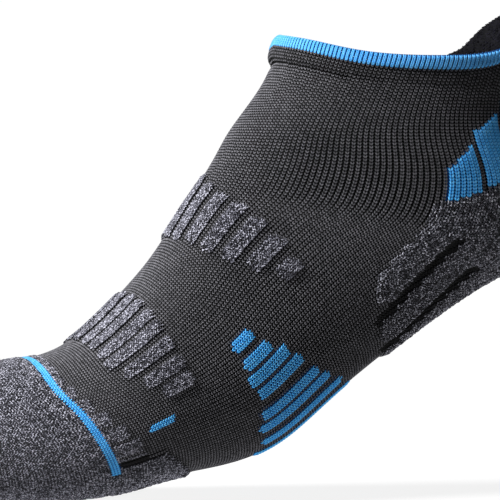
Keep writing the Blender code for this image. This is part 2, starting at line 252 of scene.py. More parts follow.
finishes = {
    "charcoal": yarnFinish("charcoalYarn", charcoalShades, sheen=0.03, fibre=0.22),
    "band": yarnFinish("bandYarn", charcoalShades, sheen=0.03, lift=-0.17, fibre=0.22),
    "heather": heatherFinish("heatherYarn", heatherShades),
    "lightHeather": heatherFinish("lightHeatherYarn", lightShades),
    "blue": yarnFinish("blueYarn", blueShades, fibre=0.22),
    "welt": yarnFinish("weltYarn", weltShades, fibre=0.3, shade=0.4, lift=0.05),
    "black": yarnFinish("blackYarn", blackShades, sheen=0.02),
    "seam": yarnFinish("seamThread", seamShades),
    "terry": yarnFinish("blackTerryYarn", terryShades, roughness=0.95, sheen=0.0, gloss=0.08),
    # the charcoal, blue and heather cloth colours are darker than their yarn: painted shade in the gaps between
    # stitches
    "gapShadeDark": clothFinish("charcoalGapShade", rgb(3, 3, 4), rgb(1, 1, 2)),
    "gapShadeBlue": clothFinish("blueGapShade", rgb(18, 70, 130), rgb(7, 38, 82)),
    "gapShadeHeather": clothFinish("heatherGapShade", rgb(24, 24, 28), rgb(8, 8, 10)),
    "baseInner": clothFinish("innerBase", rgb(10, 10, 14), rgb(4, 4, 6)),
}
print("finishes made")

# The pale floor, the white surround and the key light


def makeStage():
    half, low = floorSet["half"], float(cadBounds[0][2])
    midX, midY = (cadBounds[0][0] + cadBounds[1][0]) / 2, (cadBounds[0][1] + cadBounds[1][1]) / 2
    data = bpy.data.meshes.new("floor")
    corners = [(midX + i * half, midY + j * half, low) for i, j in ((-1, -1), (1, -1), (1, 1), (-1, 1))]
    data.from_pydata(corners, [], [(0, 1, 2, 3)])
    floor = bpy.data.objects.new("floor", data)
    scene.collection.objects.link(floor)
    finish = Finish("paleFloor")
    finish.feed("Base Color", (*floorSet["colour"], 1))
    finish.feed("Roughness", 0.95)
    finish.feed("Emission Color", (1, 1, 1, 1))
    finish.feed("Emission Strength", floorSet["glow"])
    data.materials.append(finish.material)
    world = bpy.data.worlds.new("room")
    scene.world = world
    world.use_nodes = True
    tree = world.node_tree
    back = tree.nodes["Background"]
    back.inputs["Color"].default_value = (1, 1, 1, 1)
    path = tree.nodes.new("ShaderNodeLightPath")
    share = Signal(tree, path.outputs["Is Camera Ray"])
    level = share * (1.02 - lightSet["room"]) + lightSet["room"]
    tree.links.new(level.socket, back.inputs["Strength"])
    sun = bpy.data.lights.new("key", "SUN")
    sun.energy = lightSet["key"]
    sun.angle = math.radians(lightSet["keySpread"])
    lamp = bpy.data.objects.new("key", sun)
    way = lamp.location.copy()
    way.x, way.y, way.z = lightSet["keyFrom"]
    lamp.rotation_euler = way.to_track_quat("Z", "Y").to_euler()
    lamp.location = way
    scene.collection.objects.link(lamp)
    scene.view_settings.view_transform = "Standard"


makeStage()
print("stage and light ready")

# The foot form that the sock is stretched over. A course is a distance down the sock, in mm.
# An angle runs round the sock from its front, in degrees, and is positive on the outer side.

# sections across the foot, in mm: front or top x and z, back or sole x and z, half width, shift inward
footSections = [
    (-38, 34, 51, 34, 36.5, 0), (-46.5, 6, 49.5, 6, 35.5, 0), (-50.2, -6, 47, -5, 34.5, 0),
    (-57, -17, 45.5, -16, 34.5, 0), (-65.3, -28, 47.5, -29, 35.5, 0), (-70.4, -36.5, 55, -43, 35.5, 0),
    (-74.4, -43, 58.5, -57, 34.5, 0), (-77.3, -47.5, 53, -72, 34, 0), (-79.8, -51.3, 37, -81.5, 33.5, 0),
    (-82.4, -55, 14, -95, 34, 0), (-85.4, -59.8, -8, -110.5, 35.5, 0), (-89.3, -66, -30, -127.5, 37.5, 0),
    (-95.2, -75, -52, -144.5, 41, 0), (-103.4, -85, -72, -151.5, 44.5, 0), (-114.5, -96.5, -92, -155, 48, 0),
    (-127.5, -107, -112, -160, 48.5, 1), (-141, -112, -131, -162.5, 46.5, 4),
    (-155, -115, -149, -162.5, 41.5, 8), (-167, -120.5, -164, -160.5, 33.5, 12),
    (-176, -129, -174.5, -153.5, 22.5, 14.5), (-180.5, -138.5, -180.3, -144.5, 9, 15.5),
]  # fmt: skip
heelForeSection = 9
sockSet = {
    "wales": 168,  # columns of stitches round the sock
    "coursePitch": 1.2,  # one row of stitches, in mm
    "edgePitch": 0.86,
    "legCourse": 30.0,  # rows run parallel to the opening down to here
    "archCourse": 150.0,  # and straight across the foot from here
    "footRows": 58,
    "lastStitch": 274.5,
    "wall": 1.1,
    "tabPad": 1.7,
}


class Curve:  # a natural cubic spline
    def __init__(self, knots, values):
        self.knots, self.values = np.asarray(knots, float), np.asarray(values, float)
        gaps, count = np.diff(self.knots), len(self.knots)
        matrix, bends = np.eye(count), np.zeros(self.values.shape)
        for i in range(1, count - 1):
            matrix[i, i - 1 : i + 2] = gaps[i - 1], 2 * (gaps[i - 1] + gaps[i]), gaps[i]
            before = (self.values[i] - self.values[i - 1]) / gaps[i - 1]
            after = (self.values[i + 1] - self.values[i]) / gaps[i]
            bends[i] = 6 * (after - before)
        self.bends = np.linalg.solve(matrix, bends)

    def __call__(self, at):
        at = np.asarray(at, float)
        i = np.clip(np.searchsorted(self.knots, at) - 1, 0, len(self.knots) - 2)
        gap, a, b = self.knots[i + 1] - self.knots[i], at - self.knots[i], self.knots[i + 1] - at
        if self.values.ndim > 1:
            gap, a, b = gap[..., None], a[..., None], b[..., None]
        low, high = self.bends[i], self.bends[i + 1]
        curved = (low * b**3 + high * a**3) / (6 * gap)
        before = (self.values[i] / gap - low * gap / 6) * b
        after = (self.values[i + 1] / gap - high * gap / 6) * a
        return curved + before + after


rows = np.array(footSections, float)
steps = (np.hypot(*np.diff(rows[:, 0:2], axis=0).T) + np.hypot(*np.diff(rows[:, 2:4], axis=0).T)) / 2
courseKnots = np.concatenate([[0.0], np.cumsum(steps)])
courseKnots -= courseKnots[1]
form = Curve(courseKnots, rows)
heelFore, lastCourse = courseKnots[heelForeSection], courseKnots[-1]

# course against angle, for each line that goes round the sock
rimAngles = [0, 30, 60, 98, 126, 134, 140, 155, 168, 180]
rimLine = Curve(rimAngles, [-1.5, 0.8, 5.0, 6.6, 3.8, 0.6, -4.0, -11.0, -14.5, -15.5])
toeStripeLine = Curve([0, 36, 57, 71, 90, 125, 180], [225.2, 224.9, 222.9, 219.4, 215.6, 210.8, 209.8])
raggedAngles = [0, 38, 57, 66, 80, 95, 121, 180]
raggedLine = Curve(raggedAngles, [219.5, 219.8, 217.6, 215.0, 210.4, 205.0, 199.0, 199.0])
heelTopLine = Curve([99, 110, 120, 135, 152, 180], [64.7, 61.2, 57.7, 55.2, 53.7, 51.2])
edgeFootLine = Curve([0, 50, 100, 140, 180], [4.0, 4.4, 5.4, 5.8, 5.8])
creaseLine = Curve([0, 32, 50, 72, 91, 130, 180], [7.8, 11.0, 13.8, 16.0, 17.6, 18.5, 18.5])


def signedTurn(angle):
    return (np.asarray(angle) + 180) % 360 - 180


def turned(angle):  # 0 to 180 from the front, on either side
    return np.abs(signedTurn(angle))


def rimAt(angle):  # the inner side of the opening stands a little lower than the outer side
    signed = signedTurn(angle)
    return rimLine(np.abs(signed)) + np.interp(signed, [-128, -110, -30, 0], [0, 1.7, 1.7, 0])


def onForm(course, angle):
    cut = form(course)
    turn = np.radians(angle)
    share, across = (1 - np.cos(turn)) / 2, np.sin(turn)
    flatter = np.clip((course - heelFore) / 60, 0, 1) * 0.6 * (share - 0.5) * share * (1 - share)
    side = cut[..., 4] * np.sign(across) * np.abs(across) ** 0.92 * (1 + flatter)
    x = cut[..., 0] + (cut[..., 2] - cut[..., 0]) * share
    z = cut[..., 1] + (cut[..., 3] - cut[..., 1]) * share
    return np.stack([x, cut[..., 5] - side, z], -1)


def unit(vectors):
    return vectors / np.maximum(np.linalg.norm(vectors, axis=-1, keepdims=True), 1e-9)


def formNormal(course, angle):
    along = onForm(course + 0.05, angle) - onForm(course - 0.05, angle)
    around = onForm(course, angle + 0.2) - onForm(course, angle - 0.2)
    return unit(np.cross(along, around))


# Which knit is where

zoneLift = {  # how far the yarn stands off the foot form, in mm
    "main": 0.25, "edge": 1.9, "band": 1.5, "rib": 1.35, "arch": 0.9, "bar": 1.0, "heel": 1.7,
    "channel": 0.1, "teeth": 0.8, "stripe": 0.9, "cap": 1.35, "pad": 1.7, "mark": 0.8,
}  # fmt: skip
zones = list(zoneLift)
zoneNumber = {name: number for number, name in enumerate(zones)}
walePitch = 360 / sockSet["wales"]
ribHalf = 2.05 * walePitch
upperSet = {"pitch": 6 * walePitch, "each": 6, "start": 65, "slant": 7.2, "end": 137, "shorten": 0.5}
lowerSet = {"pitch": 12.0, "each": 7, "start": 174.0, "end": 203, "fullRibs": 4, "shorten": 5}
archSet = {"half": 1.65 * walePitch, "roundEnd": 1.0}
archMiddles = np.array([85.5, 95.0, 104.0, 113.5, 124.5, 135.0, 147.5, 161.0])
archAngles = (np.round(archMiddles / walePitch - 0.5) + 0.5) * walePitch
archStarts = np.array([144, 141, 137, 135, 133, 131, 129, 127.0])
archEnds = np.array([154, 154, 155, 154, 156, 158, 158, 160.0])
barEdges = [  # front and back edge of each bar, then its top and its foot at those two edges
    (102.0, 115.0, 52.0, 41.0, 64.0, 59.0),
    (118.5, 132.5, 37.0, 29.0, 57.0, 54.0),
    (136.0, 150.0, 25.0, 19.0, 53.0, 52.0),
]
heelSet = {"front": 99, "end": 116.5, "fingerOne": 107, "fingerTwo": 115}
channelOne = {"half": 2.2, "start": 75, "end": 113}
channelTwo = {"half": 2.9, "start": 84, "end": 117}
padSet = {"side": 122, "end": 209}
toothSet = {"wales": 6, "solid": 0.83, "scallop": 1.6, "notch": 2.4, "side": 117.5}  # five wales and a dark one
toeChannel = {"front": 117.0, "back": 121.4, "start": 199, "end": 209.5}
stripeSet = {"half": 1.5, "side": 128.4, "capFrom": 1.49}
markSet = {"front": 99.2, "back": 103.4, "start": 187, "end": 197}


def ribSpan(course, offset, start, end, half, roundEnd=1.8):  # a bar with rounded ends
    cut = roundEnd * (np.abs(offset) / half) ** 2
    return (np.abs(offset) < half) & (course > start + cut) & (course < end - cut)


def zoneAt(course, angle, depth):
    found = np.zeros(np.shape(course), int)
    a = turned(angle)

    def mark(where, name):
        found[where] = zoneNumber[name]

    k = np.round(a / upperSet["pitch"])
    start = upperSet["start"] + upperSet["slant"] * k
    end = upperSet["end"] - upperSet["shorten"] * k * k
    mark(ribSpan(course, a - k * upperSet["pitch"], start, end, ribHalf) & (k <= upperSet["each"]), "rib")
    k = np.round(a / lowerSet["pitch"])
    offset = a - np.round(k * lowerSet["pitch"] / walePitch) * walePitch
    end = lowerSet["end"] - lowerSet["shorten"] * np.maximum(k - lowerSet["fullRibs"], 0)
    mark(ribSpan(course, offset, lowerSet["start"], end, ribHalf) & (k <= lowerSet["each"]), "rib")
    for middle, start, end in zip(archAngles, archStarts, archEnds):
        mark(ribSpan(course, a - middle, start, end, archSet["half"], archSet["roundEnd"]), "arch")
    for low, high, topLow, topHigh, footLow, footHigh in barEdges:
        share = np.floor((a - low) / walePitch) * walePitch / (high - low)
        top, foot = topLow + (topHigh - topLow) * share, footLow + (footHigh - footLow) * share
        mark((a > low) & (a < high) & (course > top) & (course < foot), "bar")
    front = heelSet["front"]
    # the heel's front edge and the middles of its two channels run on a slant
    upper = front + np.maximum(course - 71, 0) * 0.32
    one = 114 + np.maximum(course - 73, 0) * 0.41
    two = 137 + np.maximum(course - 83, 0) * 0.545
    heel = (a > front) & (course > heelTopLine(np.maximum(a, front))) & (a > upper)
    fingerOne = (a < one) & (course < heelSet["fingerOne"] - 5 * ((a - (upper + one) / 2) / 7) ** 2)
    fingerTwo = course < heelSet["fingerTwo"] - 5 * ((a - (one + two) / 2) / 10) ** 2
    fingerTwo = fingerTwo & (a >= one) & (a < two)
    mark(heel & (fingerOne | fingerTwo | ((a >= two) & (course < heelSet["end"]))), "heel")
    for middle, span in ((one, channelOne), (two, channelTwo)):
        inChannel = (np.abs(a - middle) < span["half"]) & (course > span["start"]) & (course < span["end"])
        mark(heel & inChannel, "channel")
    stripe = toeStripeLine(a)
    padStart = np.interp(a, [padSet["side"], 150, 180], [193, 184, 180])
    mark((a > padSet["side"]) & (course > padStart) & (course < padSet["end"]), "pad")
    tooth = toothSet["wales"] * walePitch
    within = a / tooth - np.floor(a / tooth)
    scallop = toothSet["scallop"] * np.abs(within * 2 - toothSet["solid"]) ** 3
    ragged = raggedLine((np.floor(a / tooth) + 0.5) * tooth) + scallop
    start = np.where(within > toothSet["solid"], stripe - toothSet["notch"], ragged)
    mark((a < toothSet["side"]) & (course > start) & (course < stripe), "teeth")
    inChannel = (course > toeChannel["start"]) & (course < toeChannel["end"])
    mark((a >= toeChannel["front"]) & (a < toeChannel["back"]) & inChannel, "channel")
    underStripe = (a > stripeSet["side"]) & (course > padSet["end"])
    mark((course > stripe + stripeSet["capFrom"]) | underStripe, "cap")
    mark((a < stripeSet["side"]) & (np.abs(course - stripe) < stripeSet["half"]), "stripe")
    inMark = (a > markSet["front"]) & (a < markSet["back"])
    mark((signedTurn(angle) > 0) & inMark & (course > markSet["start"]) & (course < markSet["end"]), "mark")
    mark((depth > edgeFootLine(a)) & (course < creaseLine(a)), "band")
    mark(depth <= edgeFootLine(a), "edge")
    return found


liftSet = {"first": -20, "last": 281, "step": 0.5, "columns": 336}
liftTurn = 360 / liftSet["columns"]


def makeLiftGrid():  # the height of the yarn over the whole sock, smoothed where one knit meets another
    downward = np.arange(liftSet["first"], liftSet["last"], liftSet["step"])
    course, angle = np.meshgrid(downward, np.arange(liftSet["columns"]) * liftTurn, indexing="ij")
    zone = zoneAt(course, angle, course - rimAt(angle))
    grid = np.array([zoneLift[name] for name in zones])[zone]
    a = turned(angle)
    bandFlat = np.interp(a, [0, 40, 80, 180], [1.0, 0.85, 0.35, 0.35])  # the band lies flat round the sides
    bandLift = zoneLift["main"] + (zoneLift["band"] - zoneLift["main"]) * bandFlat
    grid = np.where(zone == zoneNumber["band"], bandLift, grid)
    crease = creaseLine(a)
    rollHeight = np.interp(a, [0, 40, 75, 180], [1.0, 0.8, 0.15, 0.0])
    gatherDepth = np.interp(a, [0, 45, 75, 180], [0.7, 0.5, 0.1, 0.0])
    roll = np.exp(-(((course - crease + 3.2) / 3.0) ** 2)) * rollHeight
    gather = np.exp(-(((course - crease - 0.8) / 1.4) ** 2)) * gatherDepth
    grid = grid + roll - gather
    for _ in range(2):
        grid = (grid + np.roll(grid, 1, 0) + np.roll(grid, -1, 0)) / 3
        grid = grid * 0.6 + np.roll(grid, 1, 1) * 0.2 + np.roll(grid, -1, 1) * 0.2
    return grid


liftGrid = makeLiftGrid()


def liftAt(course, angle):
    r = np.clip((course - liftSet["first"]) / liftSet["step"], 0, len(liftGrid) - 1.001)
    c = (np.asarray(angle) % 360) / liftTurn
    i, j = np.floor(r).astype(int), np.floor(c).astype(int)
    p, q = r - i, c - j
    j, k = j % liftSet["columns"], (j + 1) % liftSet["columns"]
    above = liftGrid[i, j] * (1 - q) + liftGrid[i, k] * q
    below = liftGrid[i + 1, j] * (1 - q) + liftGrid[i + 1, k] * q
    return above * (1 - p) + below * p


rimRoll = 1.5  # the half round at the top edge ends this far down


def rimRound(depth, low, high):  # the wall closes in a half round at the top edge
    share = np.clip(depth / rimRoll, 0, 1)
    middle = (low + high) / 2
    return middle + (high - middle) * np.sqrt(np.maximum(1 - (1 - share) ** 2, 0))


def innerLift(course, angle):
    a = turned(angle)
    tab = np.clip((a - 128) / 10, 0, 1) * np.clip((8 - course) / 8, 0, 1)
    return -sockSet["wall"] - sockSet["tabPad"] * tab


def outside(course, angle, extra=0.0):
    depth = course - rimAt(angle)
    high = liftAt(course, angle)
    low = innerLift(course, angle)
    lift = np.where(depth < rimRoll, rimRound(depth, low, high), high) + extra
    return onForm(course, angle) + formNormal(course, angle) * lift[..., None]


def inside(course, angle):
    depth = course - rimAt(angle)
    high, low = liftAt(course, angle), innerLift(course, angle)
    lift = np.where(depth < rimRoll, rimRound(depth, high, low), low)
    return onForm(course, angle) + formNormal(course, angle) * lift[..., None]


print("form and zones ready")

# The cloth under the stitches, coloured darker than the yarn as painted shade in the gaps between stitches

shellSet = {"sink": 0.75, "rowStep": 1.5, "rimFade": 48}
baseNames = ("gapShadeDark", "gapShadeBlue", "gapShadeHeather", "baseInner")
blueGapShade, heatherGapShade, innerBase = 1, 2, 3  # places in that list
baseOf = {
    "edge": blueGapShade, "arch": blueGapShade, "bar": blueGapShade, "stripe": blueGapShade, "mark": blueGapShade,
    "heel": heatherGapShade, "cap": heatherGapShade, "pad": heatherGapShade, "teeth": heatherGapShade, "rib": heatherGapShade,
}  # fmt: skip
tabStart = 127  # from this angle on, the lining comes over the top edge


def objectFrom(name, points, faces, materials, faceMaterial=None):
    data = bpy.data.meshes.new(name)
    data.from_pydata(points, [], faces)
    for item in materials:
        data.materials.append(item)
    if faceMaterial is not None:
        data.polygons.foreach_set("material_index", np.asarray(faceMaterial, "i"))
    data.shade_smooth()
    data.update()
    made = bpy.data.objects.new(name, data)
    scene.collection.objects.link(made)
    return made


def makeShell():
    count = sockSet["wales"]
    angles = (np.arange(count) + 0.5) * walePitch
    rims = rimAt(angles)
    upperRows, lowerRows = np.arange(1.2, 26, 1.0), np.arange(26, lastCourse - 0.4, shellSet["rowStep"])
    near = np.concatenate([[0, 0.12, 0.4, 0.8], upperRows, lowerRows, [lastCourse]])
    blend = np.clip(1 - near / shellSet["rimFade"], 0, 1)[:, None]
    course = near[:, None] + rims[None, :] * blend
    angle = np.broadcast_to(angles, course.shape)
    outer = outside(course, angle, -shellSet["sink"]) * 0.001
    inner = inside(course, angle) * 0.001
    outer[0] = inner[0] = (outer[0] + inner[0]) / 2
    total = len(near)
    stack = np.concatenate([inner[::-1], outer[1:]])
    tipOut, tipIn = outer[-1].mean(0) - [0.0016, 0, 0], inner[-1].mean(0)
    points = np.concatenate([stack.reshape(-1, 3), [tipIn], [tipOut]])
    faces, kinds = [], []
    kind = np.array([baseOf.get(name, 0) for name in zones])
    middle = (course[1:] + course[:-1]) / 2
    across = angle[:-1] + walePitch / 2
    zone = kind[zoneAt(middle, across, middle - rimAt(across))]
    rowsAll = len(stack)
    for i in range(rowsAll - 1):
        for j in range(count):
            k = (j + 1) % count
            faces.append((i * count + j, (i + 1) * count + j, (i + 1) * count + k, i * count + k))
            if turned(angles[j]) > tabStart and abs(i - total + 1) < 6:
                kinds.append(innerBase)
            elif i < total - 1:
                kinds.append(blueGapShade if total - 2 - i < 4 else innerBase)
            else:
                kinds.append(int(zone[i - total + 1, j]))
    last, tip = rowsAll * count, rowsAll * count + 1
    for j in range(count):
        k = (j + 1) % count
        faces.append((j, k, last))
        faces.append((tip, (rowsAll - 1) * count + k, (rowsAll - 1) * count + j))
        kinds += [innerBase, heatherGapShade]
    return objectFrom("sockCloth", points, faces, [finishes[name] for name in baseNames], kinds)


shell = makeShell()
print("cloth made", len(shell.data.polygons))

# Rows and columns of stitches


def stitchRows():
    fine = np.arange(-18, lastCourse, 0.4)
    found = []
    for wale in range(sockSet["wales"]):
        angle = (wale + 0.5) * walePitch
        a = float(turned(angle))
        line = onForm(fine, np.full(len(fine), angle))
        length = np.concatenate([[0], np.cumsum(np.linalg.norm(np.diff(line, axis=0), axis=1))])
        rim = float(rimAt(angle))
        edgeFoot = rim + float(edgeFootLine(a))
        stripe = float(toeStripeLine(a))
        half = stripeSet["half"]
        stops = [rim + 0.25, edgeFoot, sockSet["legCourse"], sockSet["archCourse"]]
        stops += [stripe - half, stripe + half, sockSet["lastStitch"]]
        pitches = [sockSet["edgePitch"]] + [sockSet["coursePitch"]] * 5
        at = np.interp(stops, fine, length)
        for part in range(6):
            span = at[part + 1] - at[part]
            count = {3: sockSet["footRows"], 4: 3}.get(part, max(1, round(span / pitches[part])))
            where = at[part] + (np.arange(count) + 0.5) * span / count
            course = np.interp(where, length, fine)
            same = [np.full(count, value) for value in (angle, span / count, wale)]
            found.append(np.stack([course, *same], 1))
    return np.concatenate(found)


stitches = stitchRows()
courses, angles, heights, wales = stitches.T
wales = wales.astype(int)
width = onForm(courses, angles + walePitch / 2) - onForm(courses, angles - walePitch / 2)
width = np.linalg.norm(width, axis=1)


def waleWidth(course):  # the usual width of a wale at a course
    around = np.arange(sockSet["wales"] + 1) * walePitch
    line = onForm(np.full(len(around), course), around)
    return np.mean(np.linalg.norm(np.diff(line, axis=0), axis=1))


toeCourses = np.arange(230.0, 276.0, 2.0)
usual = np.interp(courses, toeCourses, [waleWidth(course) for course in toeCourses])
joined = np.where(usual > 0.8, 1, np.where(usual > 0.45, 2, 4))  # wales run together where the toe narrows
keep = wales % joined == 0
width = width * joined
angles = angles + (joined - 1) * walePitch / 2
courses, angles, heights, width = courses[keep], angles[keep], heights[keep], width[keep]
depths = courses - rimAt(angles)
kinds = zoneAt(courses, angles, depths)
print("stitches placed", len(courses))

# The stitch tree sets two leaning legs of yarn on each point


def stitchTree():
    tree = bpy.data.node_groups.new("knitStitches", "GeometryNodeTree")
    face = tree.interface
    face.new_socket("Geometry", in_out="INPUT", socket_type="NodeSocketGeometry")
    usual = {"Leg Length": 1.5, "Yarn Thickness": 0.62, "Lean": 0.42, "Spread": 0.25, "Bulge": 0.35}
    usual |= {"Tone Spread": 1.0, "Unevenness": 0.12}
    for name, value in usual.items():
        socket = face.new_socket(name, in_out="INPUT", socket_type="NodeSocketFloat")
        socket.default_value = value
    face.new_socket("Seed", in_out="INPUT", socket_type="NodeSocketInt")
    face.new_socket("Yarn", in_out="INPUT", socket_type="NodeSocketMaterial")
    face.new_socket("Geometry", in_out="OUTPUT", socket_type="NodeSocketGeometry")
    enter, leave = tree.nodes.new("NodeGroupInput"), tree.nodes.new("NodeGroupOutput")

    def add(kind, settings=(), **links):
        node = tree.nodes.new(kind)
        for key, value in dict(settings).items():
            setattr(node, key, value)
        for key, value in links.items():
            slot = slotOf(node, key)
            if isinstance(value, bpy.types.NodeSocket):
                tree.links.new(value, slot)
            else:
                slot.default_value = value
        return node

    def maths(operation, first, second=0.0):
        return add("ShaderNodeMath", {"operation": operation}, i0=first, i1=second).outputs[0]

    def triple(x, y, z):
        return add("ShaderNodeCombineXYZ", X=x, Y=y, Z=z).outputs[0]

    def scaled(vector, factor):
        return add("ShaderNodeVectorMath", {"operation": "SCALE"}, Vector=vector, Scale=factor).outputs[0]

    def summed(first, second):
        return add("ShaderNodeVectorMath", {"operation": "ADD"}, i0=first, i1=second).outputs[0]

    def named(name, kind="FLOAT_VECTOR"):
        return add("GeometryNodeInputNamedAttribute", {"data_type": kind}, Name=name).outputs[0]

    half = maths("MULTIPLY", enter.outputs["Leg Length"], 0.5)
    sag = maths("MULTIPLY", enter.outputs["Bulge"], -1.0)
    foot, middle = triple(0.0, maths("MULTIPLY", half, -1.0), sag), triple(0.0, 0.0, enter.outputs["Bulge"])
    top = triple(0.0, half, sag)
    leg = add("GeometryNodeCurveQuadraticBezier", Resolution=2, Start=foot, Middle=middle, End=top)
    along = add("GeometryNodeSplineParameter").outputs["Factor"]
    fromMiddle = maths("ABSOLUTE", maths("SUBTRACT", maths("MULTIPLY", along, 2.0), 1.0))
    taper = maths("SUBTRACT", 1.0, maths("MULTIPLY", maths("POWER", fromMiddle, 2.0), 0.5))
    # the crown value, 1 at the middle of a leg and 0 at its ends, is painted by the finishes as a highlight in
    # the middle and shade at the ends
    crown = maths("SUBTRACT", 1.0, fromMiddle)
    store, onPoints = "GeometryNodeStoreNamedAttribute", {"data_type": "FLOAT", "domain": "POINT"}
    crowned = add(store, onPoints, Geometry=leg.outputs[0], Name="crown", Value=crown)
    tapered = add("GeometryNodeSetCurveRadius", Curve=crowned.outputs[0], Radius=taper)
    radius = maths("MULTIPLY", enter.outputs["Yarn Thickness"], 0.5)
    ring = add("GeometryNodeCurvePrimitiveCircle", Resolution=3, Radius=radius)
    outline, profile = tapered.outputs[0], ring.outputs[0]
    body = add("GeometryNodeCurveToMesh", Curve=outline, Profile_Curve=profile, Fill_Caps=True)
    body = add("GeometryNodeSetShadeSmooth", Geometry=body.outputs[0])
    cloud = add("GeometryNodeMeshToPoints", Mesh=enter.outputs["Geometry"])
    out, down, across, size = named("out"), named("down"), named("across"), named("size")
    parts = add("ShaderNodeSeparateXYZ", Vector=size)
    joined = add("GeometryNodeJoinGeometry")
    random, turn = "FunctionNodeRandomValue", "FunctionNodeAlignRotationToVector"
    uneven = enter.outputs["Unevenness"]
    for side in (1.0, -1.0):
        apart = maths("MULTIPLY", parts.outputs[0], enter.outputs["Spread"])
        shift = scaled(across, maths("MULTIPLY", apart, 0.001 * side))
        moved = add("GeometryNodeSetPosition", Geometry=cloud.outputs[0], Offset=shift)
        seed = maths("ADD", enter.outputs["Seed"], 11 if side > 0 else 57)
        least = maths("MULTIPLY", uneven, -1.0)
        wobble = add(random, {"data_type": "FLOAT"}, i2=least, i3=uneven, Seed=seed)
        lean = maths("ADD", maths("MULTIPLY", enter.outputs["Lean"], side), wobble.outputs[1])
        upward = scaled(down, maths("MULTIPLY", maths("COSINE", lean), -1.0))
        way = summed(upward, scaled(across, maths("SINE", lean)))
        first = add(turn, {"axis": "Z"}, Vector=out)
        second = add(turn, {"axis": "Y", "pivot_axis": "Z"}, Rotation=first.outputs[0], Vector=way)
        tall = maths("MULTIPLY", parts.outputs[1], 0.001 / 1.2)
        thick = maths("MULTIPLY", parts.outputs[2], 0.001)
        placed = add("GeometryNodeInstanceOnPoints", Points=moved.outputs[0], Instance=body.outputs[0])
        tree.links.new(second.outputs[0], placed.inputs["Rotation"])
        tree.links.new(triple(thick, tall, thick), placed.inputs["Scale"])
        toneSeed = maths("ADD", seed, 5)
        shade = add(random, {"data_type": "FLOAT"}, i2=0.0, i3=enter.outputs["Tone Spread"], Seed=toneSeed)
        tone = maths("ADD", named("base", "FLOAT"), shade.outputs[1])
        onInstances = {"data_type": "FLOAT", "domain": "INSTANCE"}
        toned = add(store, onInstances, Geometry=placed.outputs[0], Name="tone", Value=tone)
        tree.links.new(toned.outputs[0], joined.inputs[0])
    real = add("GeometryNodeRealizeInstances", Geometry=joined.outputs[0])
    dressed = add("GeometryNodeSetMaterial", Geometry=real.outputs[0], Material=enter.outputs["Yarn"])
    tree.links.new(dressed.outputs[0], leave.inputs[0])
    return tree


knitTree = stitchTree()


def knitPiece(name, points, out, down, size, base, finish, settings):
    data = bpy.data.meshes.new(name)
    data.from_pydata(points * 0.001, [], [])
    across = unit(np.cross(out, down))
    for label, values in (("out", out), ("down", down), ("across", across), ("size", size)):
        made = data.attributes.new(label, "FLOAT_VECTOR", "POINT")
        made.data.foreach_set("vector", np.ascontiguousarray(values, "f").ravel())
    made = data.attributes.new("base", "FLOAT", "POINT")
    made.data.foreach_set("value", np.ascontiguousarray(base, "f"))
    seed = bpy.data.objects.new(name, data)
    scene.collection.objects.link(seed)
    modifier = seed.modifiers.new("stitches", "NODES")
    modifier.node_group = knitTree
    values = {**settings, "Yarn": finish}
    for item in knitTree.interface.items_tree:
        if item.in_out == "INPUT" and item.name in values:
            modifier[item.identifier] = values[item.name]
    bpy.context.view_layer.update()
    graph = bpy.context.evaluated_depsgraph_get()
    finished = seed.evaluated_get(graph)
    mesh = bpy.data.meshes.new_from_object(finished, preserve_all_data_layers=True, depsgraph=graph)
    seed.modifiers.remove(modifier)
    seed.data = mesh
    mesh.name = name
    for label in [a.name for a in mesh.attributes if a.name in ("out", "down", "across", "size", "base")]:
        mesh.attributes.remove(mesh.attributes[label])
    bpy.data.meshes.remove(data)
    print("knitted", name, len(points), len(mesh.polygons))
    return seed


def frameAt(surface, course, angle):  # outward normal and the way down the wale on the lifted cloth
    down = surface(course + 0.35, angle) - surface(course - 0.35, angle)
    around = surface(course, angle + 0.6) - surface(course, angle - 0.6)
    out = unit(np.cross(down, around))
    return out, unit(down)


def layer(chosen, surface, base=0.0, settle=0.8, rough=0.0):
    c, a, w, h = courses[chosen], angles[chosen], width[chosen], heights[chosen]
    points = surface(c, a)
    out, down = frameAt(surface, c, a)
    if surface is inside:
        out = -out
    settled = formNormal(c, a) * (-1 if surface is inside else 1)
    out = unit((1 - settle) * out + settle * settled)
    points = points + out * (rng.random(len(c)) - 0.5)[:, None] * rough
    return points, out, down, np.stack([w, h, w / 1.7], 1), np.full(len(c), base)


def knit(name, finish, settings, *layers):
    joined = [np.concatenate(parts) for parts in zip(*layers)]
    return knitPiece(name, *joined, finishes[finish], settings)


def isKind(*names):
    return np.isin(kinds, [zoneNumber[n] for n in names])


a = turned(angles)
outerSide = signedTurn(angles) > 0
main = isKind("main")
plain = {
    "Leg Length": 1.46, "Yarn Thickness": 0.5, "Lean": 0.58, "Spread": 0.17, "Bulge": 0.34,
    "Tone Spread": 0.22, "Unevenness": 0.04,
}  # fmt: skip
ridge = {
    "Leg Length": 1.46, "Yarn Thickness": 0.68, "Lean": 0.5, "Spread": 0.21, "Bulge": 0.24,
    "Tone Spread": 0.3, "Unevenness": 0.04,
}  # fmt: skip
flecked = {**ridge, "Tone Spread": 1.0, "Unevenness": 0.14}
welt = {
    "Leg Length": 1.75, "Yarn Thickness": 0.8, "Lean": 0.2, "Spread": 0.17, "Bulge": 0.14,
    "Tone Spread": 0.3, "Unevenness": 0.04,
}  # fmt: skip
terry = {
    "Leg Length": 1.35, "Yarn Thickness": 0.62, "Lean": 0.6, "Spread": 0.22, "Bulge": 0.32,
    "Tone Spread": 1.0, "Unevenness": 0.24,
}  # fmt: skip
lining = {**terry, "Yarn Thickness": 0.7, "Tone Spread": 0.9}


def piece(name, finish, settings, seed, *chosen, **options):
    layers = [c if isinstance(c, tuple) else (c, outside) for c in chosen]
    return knit(name, finish, {**settings, "Seed": seed}, *[layer(*c, **options) for c in layers])


